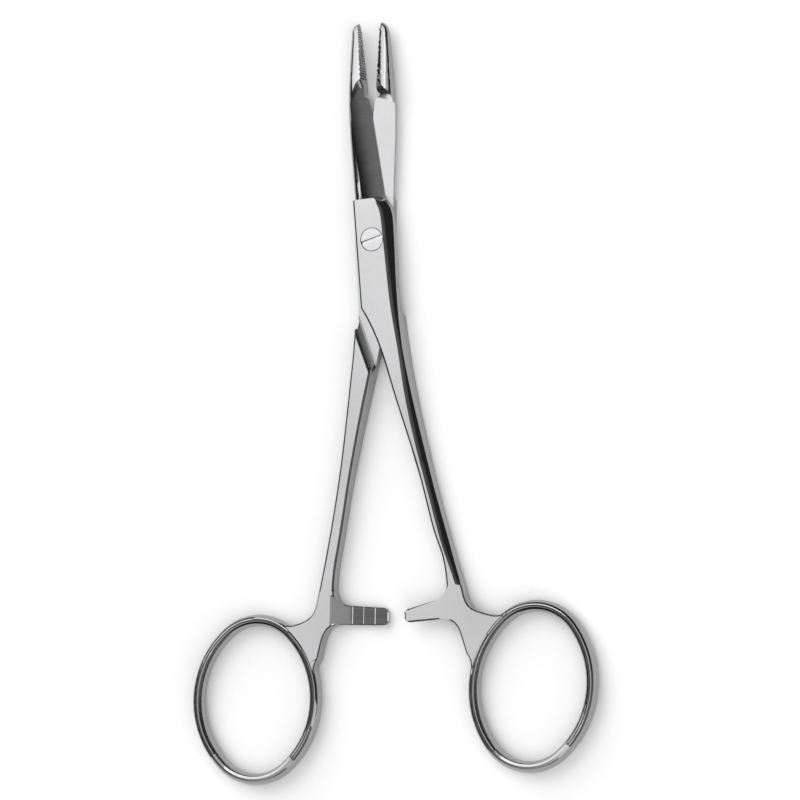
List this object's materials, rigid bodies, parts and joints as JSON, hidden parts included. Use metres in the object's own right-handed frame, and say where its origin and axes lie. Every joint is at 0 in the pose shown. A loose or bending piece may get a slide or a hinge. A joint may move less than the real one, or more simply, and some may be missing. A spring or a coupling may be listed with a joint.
{
  "type": "surgical needle holder",
  "caption": "Ring-handled needle holder with cross-serrated jaws, suture scissor blades behind them, a screwed lap joint and a ratchet between the shanks.",
  "frame": {"origin": "on the pivot axis, in the plane of the flat back of the joint on which the instrument lies", "axes": "+Y along the instrument towards the jaws, +Z along the pivot screw out of the front face, +X towards the side of the rear arm's jaw"},
  "size_m": [0.0785, 0.1394, 0.0044],
  "materials": {
    "steel": "satin stainless steel on the flat faces, bright polish on rings, jaw backs and bevels",
    "screw_steel": "satin stainless steel"
  },
  "bodies": {
    "rear": {"rear_arm": "steel", "pivot_screw": "screw_steel"},
    "front": {"front_arm": "steel"}
  },
  "joints": [
    {"name": "pivot", "type": "hinge", "parent": "rear", "child": "front", "pos_m": [0, 0, 0.0022], "axis": [0, 0, 1], "range_deg": [-6, 74]}
  ]
}
